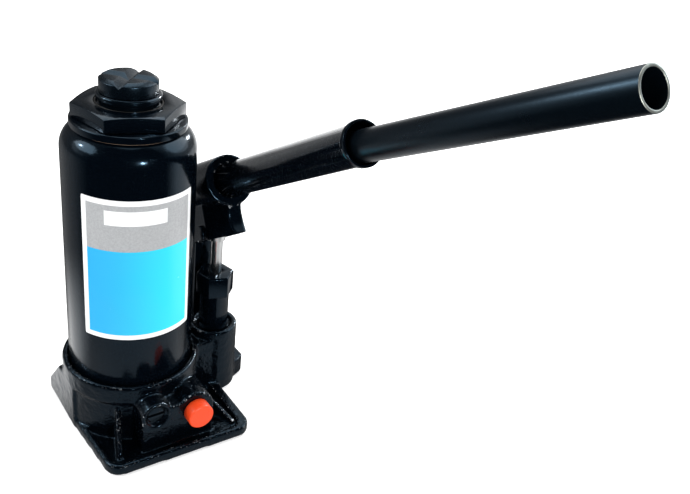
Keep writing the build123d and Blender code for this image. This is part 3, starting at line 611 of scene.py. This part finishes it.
# thread cut into the shank under the saddle, down to where it never leaves the ram
screwThread = {
    "saddle": 8.3 * mm,         # height of the saddle above the shank
    "relief": 1.2 * mm,         # plain neck under the saddle
    "length": 98.0 * mm,
    "pitch": 4.0 * mm,
    "depth": 1.3 * mm,
    "root": 0.3,                # shares of the pitch at the bottom and the crest of the thread
    "crest": 0.25,
    "steps": 48,                # round one turn
}
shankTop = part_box("extension_screw")[1][2] - screwThread["saddle"]
shankRadius = max(
    math.hypot(v.co.x, v.co.y)
    for v in nodes["extension_screw"].data.vertices if v.co.z < shankTop - mm
)
coreRadius = shankRadius - screwThread["depth"]


def makeThread():
    bm = bmesh.new()
    pitch = screwThread["pitch"]
    high = shankTop - screwThread["relief"]
    low = high - screwThread["length"]
    flank = (1 - screwThread["root"] - screwThread["crest"]) / 2
    corners = (
        (coreRadius, 0.0),
        (coreRadius, screwThread["root"]),
        (shankRadius, screwThread["root"] + flank),
        (shankRadius, 1.0 - flank),
        (coreRadius, 1.0),
    )
    profile = [bm.verts.new((radius, 0, low + (share - 1) * pitch)) for radius, share in corners]
    edges = [bm.edges.new(pair) for pair in zip(profile, profile[1:])]
    turns = math.ceil(screwThread["length"] / pitch) + 2
    climb = pitch / screwThread["steps"]
    bmesh.ops.spin(bm, geom=profile + edges, cent=(0, 0, 0), axis=(0, 0, 1), dvec=(0, 0, climb),
                   steps=turns * screwThread["steps"], angle=math.tau * turns, use_merge=False)
    bmesh.ops.remove_doubles(bm, verts=bm.verts, dist=mergeGap)
    for level, up in ((low, -1), (high, 1)):
        cut = bmesh.ops.bisect_plane(
            bm, geom=bm.verts[:] + bm.edges[:] + bm.faces[:], dist=onPlane,
            plane_co=(0, 0, level), plane_no=(0, 0, up), clear_outer=True,
        )
        rim = [e for e in cut["geom_cut"] if isinstance(e, bmesh.types.BMEdge)]
        bmesh.ops.edgeloop_fill(bm, edges=rim)
    bmesh.ops.recalc_face_normals(bm, faces=bm.faces)
    return bm


for node, easing in easedPieces.items():
    eased = copyOfNode(node)
    if node == "extension_screw":
        for vert in eased.verts:
            reach = math.hypot(vert.co.x, vert.co.y)
            if vert.co.z < shankTop + nearGap and abs(reach - shankRadius) < nearGap:
                vert.co.x *= coreRadius / reach
                vert.co.y *= coreRadius / reach
    roundEdges(eased, easing)
    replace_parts(finishPiece(node + "_eased", eased, node), node)
finishPiece("extension_screw_thread", makeThread(), "extension_screw", brightSteel)
print("eased pieces:", len(easedPieces))


# castings: the solid with soft edges and filled corners, and lumps of (height, size)
castings = {
    "base": {
        "grain": 0.72 * mm,
        "passes": 6,
        "lumps": ((0.13 * mm, 5.0 * mm), (0.035 * mm, 1.9 * mm)),
    },
    "handle_socket": {
        "grain": 0.5 * mm,
        "passes": 8,
        "lumps": ((0.07 * mm, 6.0 * mm), (0.025 * mm, 1.9 * mm)),
    },
}
for node, casting in castings.items():
    rough = finishPiece(node + "_cast", copyOfNode(node), node, sharpAngle=allSmooth)
    remesh = rough.modifiers.new("grain", "REMESH")
    remesh.mode = "VOXEL"
    remesh.voxel_size = casting["grain"]
    remesh.use_smooth_shade = True
    seen = rough.evaluated_get(bpy.context.evaluated_depsgraph_get())
    bm = bmesh.new()
    bm.from_mesh(seen.data)
    rough.modifiers.clear()
    for _ in range(casting["passes"]):
        bmesh.ops.smooth_vert(bm, verts=bm.verts, factor=0.5,
                              use_axis_x=True, use_axis_y=True, use_axis_z=True)
    bm.normal_update()
    for vert in bm.verts:
        swell = sum(height * noise.noise(vert.co / size) for height, size in casting["lumps"])
        vert.co += vert.normal * swell
        vert.co = [min(max(c, low), high) for c, low, high in zip(vert.co, *cadBox)]
    bm.to_mesh(rough.data)
    bm.free()
    rough.data.shade_smooth()
    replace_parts(rough, node)
    print(node, "cast:", len(rough.data.polygons), "faces")


# bare label wrapped round the front of the tank
label = {
    "low": 74.0 * mm,
    "high": 161.2 * mm,
    "from": -154.2,             # degrees round the tank
    "to": -50.2,
    "lift": 0.06 * mm,          # off the paint
    "thickness": 0.1 * mm,
    "border": 3.0 * mm,
    "split": 131.0 * mm,        # between the grey and the blue field
    "corner": 2.0 * mm,
    "cornerSteps": 5,
    "steps": 96,
    # empty white field
    "blank": {"from": -133.0, "to": -80.0, "low": 146.5 * mm, "high": 155.0 * mm},
}
tankLow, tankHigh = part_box("reservoir")
tankRadius = (tankHigh[0] - tankLow[0]) / 2


def makeLabel():
    bm = bmesh.new()
    start = Vector((tankRadius + label["lift"], 0, 0))
    start.rotate(Euler((0, 0, math.radians(label["from"]))))
    ends = [bm.verts.new((start.x, start.y, z)) for z in (label["low"], label["high"])]
    line = bm.edges.new(ends)
    sweep = math.radians(label["to"] - label["from"])
    bmesh.ops.spin(bm, geom=[line] + ends, cent=(0, 0, 0), axis=(0, 0, 1), steps=label["steps"],
                   angle=sweep, use_merge=False)
    corners = [v for v in bm.verts if len(v.link_edges) == 2]
    bmesh.ops.bevel(bm, geom=corners, offset=label["corner"], offset_type="OFFSET",
                    segments=label["cornerSteps"], profile=0.5, affect="VERTICES", material=-1)
    bmesh.ops.recalc_face_normals(bm, faces=bm.faces)
    outwards = bm.faces[0].calc_center_median() * Vector((1, 1, 0))
    if bm.faces[0].normal.dot(outwards) < 0:
        bmesh.ops.reverse_faces(bm, faces=bm.faces)
    bmesh.ops.solidify(bm, geom=bm.faces, thickness=-label["thickness"])
    return bm


# printed film: white border and blank, flecked silver above, blue below
labelColours = {
    "white": (0.9, 0.91, 0.92, 1),
    "silver": (0.36, 0.37, 0.38, 1),
    "foil": (0.43, 0.44, 0.45, 1),
    "sky": (0.026, 0.41, 0.78, 1),
    "cyan": (0.028, 0.7, 0.84, 1),
}
labelSheen = {
    "foilScale": 900.0,
    "foilFleck": (0.3, 0.7),
    "handledScale": 60.0,       # where hands have dulled the film
    "gloss": 0.14,
    "dulling": 0.2,
    "rippleScale": 140.0,
    "ripple": 0.08,
    "rippleHeight": 0.4 * mm,
}
labelFilm, labelTree, labelShader = blankMaterial("labelFilm")
labelPlace = objectPlace(labelTree)
labelSpot = labelTree.nodes.new("ShaderNodeSeparateXYZ")
labelTree.links.new(labelPlace, labelSpot.inputs[0])
spotX, spotY, spotZ = labelSpot.outputs
roundTank = mathNode(labelTree, "ARCTAN2", spotY, spotX)
inset = label["border"] / tankRadius
leftEdge = math.radians(label["from"]) + inset
rightEdge = math.radians(label["to"]) - inset


def insideBand(value, low, high):
    return mathNode(
        labelTree, "MULTIPLY",
        mathNode(labelTree, "GREATER_THAN", value, low),
        mathNode(labelTree, "LESS_THAN", value, high),
    )


def insideBox(left, right, low, high):
    across = insideBand(roundTank, left, right)
    return mathNode(labelTree, "MULTIPLY", across, insideBand(spotZ, low, high))


blank = label["blank"]
isField = insideBox(leftEdge, rightEdge,
                    label["low"] + label["border"], label["high"] - label["border"])
isBlank = insideBox(math.radians(blank["from"]), math.radians(blank["to"]),
                    blank["low"], blank["high"])
isUpper = mathNode(labelTree, "GREATER_THAN", spotZ, label["split"])
blueTone = mixColour(labelTree, stepNode(labelTree, roundTank, leftEdge, rightEdge),
                     labelColours["sky"], labelColours["cyan"])
foil = noiseNode(labelTree, labelPlace, labelSheen["foilScale"], detail=3.0, roughness=0.7)
silverTone = mixColour(labelTree, stepNode(labelTree, foil, *labelSheen["foilFleck"]),
                       labelColours["silver"], labelColours["foil"])
upperTone = mixColour(labelTree, isBlank, silverTone, labelColours["white"])
fieldTone = mixColour(labelTree, isUpper, blueTone, upperTone)
labelTree.links.new(mixColour(labelTree, isField, labelColours["white"], fieldTone),
                    labelShader.inputs["Base Color"])
handled = noiseNode(labelTree, labelPlace, labelSheen["handledScale"], detail=4.0, roughness=0.6)
labelTree.links.new(
    mathNode(labelTree, "MULTIPLY_ADD", handled, labelSheen["dulling"], labelSheen["gloss"]),
    labelShader.inputs["Roughness"],
)
ripple = addNode(labelTree, "ShaderNodeBump", Strength=labelSheen["ripple"],
                 Distance=labelSheen["rippleHeight"])
labelTree.links.new(noiseNode(labelTree, labelPlace, labelSheen["rippleScale"], detail=2.0),
                    ripple.inputs["Height"])
labelTree.links.new(ripple.outputs["Normal"], labelShader.inputs["Normal"])
finishPiece("label_plate", makeLabel(), "reservoir", labelFilm)
print("label ready")


# studio: white floor and background, dark front side, soft lamps
studio = {
    "white": (1, 1, 1, 1),
    "worldLight": 0.4,
    "floorSize": 3.0,
    "floorDrop": 0.5 * mm,
    "floorGlow": 0.46,
    "shadowReach": (0.15, 0.6),     # metres from the ram over which the floor goes to plain white
    "floorColour": (0.8, 0.8, 0.8, 1),
}


def isSeen(tree):
    path = tree.nodes.new("ShaderNodeLightPath")
    direct = mathNode(tree, "MAXIMUM", path.outputs["Is Camera Ray"], path.outputs["Is Glossy Ray"])
    return mathNode(tree, "MAXIMUM", direct, path.outputs["Is Transmission Ray"])


def matteMaterial(name, colour):
    material, tree, shader = blankMaterial(name)
    shader.inputs["Base Color"].default_value = colour
    shader.inputs["Roughness"].default_value = 1.0
    shader.inputs["Specular IOR Level"].default_value = 0.0
    return material, tree, shader


def stagePiece(name, bm, material):
    mesh = bpy.data.meshes.new(name)
    bm.to_mesh(mesh)
    bm.free()
    mesh.materials.append(material)
    piece = bpy.data.objects.new(name, mesh)
    scene.collection.objects.link(piece)
    return piece


world = bpy.data.worlds.new("studio")
scene.world = world
world.use_nodes = True
worldTree = world.node_tree
background = worldTree.nodes["Background"]
background.inputs["Color"].default_value = studio["white"]
worldLevel = mathNode(worldTree, "MULTIPLY_ADD", isSeen(worldTree), 1.0 - studio["worldLight"],
                      studio["worldLight"])
worldTree.links.new(worldLevel, background.inputs["Strength"])

floorPaint, floorTree, floorShader = matteMaterial("floorPaint", studio["floorColour"])
floorShader.inputs["Emission Color"].default_value = studio["white"]
fromFoot = vectorNode(floorTree, "LENGTH", objectPlace(floorTree))
offShadow = stepNode(floorTree, fromFoot.outputs["Value"], *studio["shadowReach"])
glow = mathNode(floorTree, "MULTIPLY_ADD", offShadow, 1.0 - studio["floorGlow"],
                studio["floorGlow"])
floorTree.links.new(mathNode(floorTree, "MULTIPLY", isSeen(floorTree), glow),
                    floorShader.inputs["Emission Strength"])
floorBm = bmesh.new()
bmesh.ops.create_grid(floorBm, x_segments=1, y_segments=1, size=studio["floorSize"])
floor = stagePiece("floor", floorBm, floorPaint)
floor.location.z = -studio["floorDrop"]

# dark card all round but open at the back right, seen only in the gloss: a painted dark reflection
# of the surroundings
darkCard = {
    "steps": 64,
    "profile": ((0.02, -0.0003), (0.6, -0.0003), (1.3, 0.35), (1.6, 1.2), (1.3, 1.9), (0.6, 2.3)),
    "tone": (0.004, 0.006, 0.009, 1),
    # how dense it is, by degrees round the ram, far off and on the floor beside the base, where it
    # is painted shade on the floor seen in the gloss
    "farShade": ((-180, 1), (-50, 1), (-30, 0.45), (10, 0.5), (24, 0.7), (40, 0.15), (58, 0.15),
                 (70, 0.85), (95, 0.92), (115, 0.85), (150, 0.85), (180, 1)),
    "nearShade": ((-180, 0.75), (-150, 0.68), (-25, 0.6), (5, 0.95), (95, 0.95), (118, 0.3),
                  (150, 0.3), (180, 0.75)),
    "besidePump": ((-180, 0), (10, 0), (18, 1), (90, 1), (100, 0), (180, 0)),
    "pumpFloor": (0.25, 0.42),      # radius over which the painted shade on the floor beside the pump ends
    "nearFloor": (0.09, 0.22),      # radius over which the near shade goes over to the far one
}
cardPaint, cardTree, cardShader = matteMaterial("cardPaint", darkCard["tone"])
cardPlace = objectPlace(cardTree)
cardSpot = cardTree.nodes.new("ShaderNodeSeparateXYZ")
cardTree.links.new(cardPlace, cardSpot.inputs[0])
roundCard = mathNode(cardTree, "ARCTAN2", cardSpot.outputs[1], cardSpot.outputs[0])
cardTurn = mathNode(cardTree, "MULTIPLY_ADD", roundCard, 1 / math.tau, 0.5)
fromRam = vectorNode(cardTree, "LENGTH", cardPlace).outputs["Value"]


def shadeByTurn(shades):
    ramp = cardTree.nodes.new("ShaderNodeValToRGB")
    cardTree.links.new(cardTurn, ramp.inputs["Fac"])
    stops = ramp.color_ramp.elements
    for turn, _ in shades[1:-1]:
        stops.new(turn / 360 + 0.5)
    for stop, (_, density) in zip(stops, shades):
        stop.color = (density, density, density, 1)
    return ramp.outputs["Color"]


isFar = stepNode(cardTree, fromRam, *darkCard["nearFloor"])
offPump = stepNode(cardTree, fromRam, *darkCard["pumpFloor"])
pumpShade = mathNode(cardTree, "MULTIPLY", shadeByTurn(darkCard["besidePump"]),
                     mathNode(cardTree, "SUBTRACT", 1.0, offPump))
openShade = mixColour(cardTree, isFar, shadeByTurn(darkCard["nearShade"]),
                      shadeByTurn(darkCard["farShade"]))
cardTree.links.new(mathNode(cardTree, "MAXIMUM", pumpShade, openShade), cardShader.inputs["Alpha"])
cardBm = bmesh.new()
cardVerts = [cardBm.verts.new((reach, 0, z)) for reach, z in darkCard["profile"]]
cardEdges = [cardBm.edges.new(pair) for pair in zip(cardVerts, cardVerts[1:])]
bmesh.ops.spin(cardBm, geom=cardVerts + cardEdges, cent=(0, 0, 0), axis=(0, 0, 1),
               steps=darkCard["steps"], angle=math.tau, use_merge=True)
card = stagePiece("dark_card", cardBm, cardPaint)
card.visible_camera = False
card.visible_diffuse = False
card.visible_transmission = False
card.visible_shadow = False

# soft lamps for the form, star lamps for the glints
lampAim = Vector((0.02, 0, 0.12))
lamps = {
    "leftSoft": {"at": (-1.25, 0.5, 0.85), "size": 1.2, "power": 14.0},
    "rightSoft": {"at": (1.2, -0.1, 0.9), "size": 1.2, "power": 9.0},
    "topSoft": {"at": (0.1, 0.5, 1.4), "size": 1.4, "power": 11.0},
    "frontStar": {"at": (-0.02, -1.43, 0.52), "size": 0.1, "power": 12.0},
    "rightStar": {"at": (1.25, 0.5, 0.55), "size": 0.1, "power": 7.0},
    "leftStar": {"at": (-1.2, 0.7, 1.0), "size": 0.09, "power": 4.0},
}
for lampName, lamp in lamps.items():
    lampData = bpy.data.lights.new(lampName, "AREA")
    lampData.shape = "DISK"
    lampData.size = lamp["size"]
    lampData.energy = lamp["power"]
    lampObject = bpy.data.objects.new(lampName, lampData)
    lampObject.location = lamp["at"]
    aim = lampAim - Vector(lamp["at"])
    lampObject.rotation_euler = aim.to_track_quat("-Z", "Y").to_euler()
    scene.collection.objects.link(lampObject)
print("studio ready")
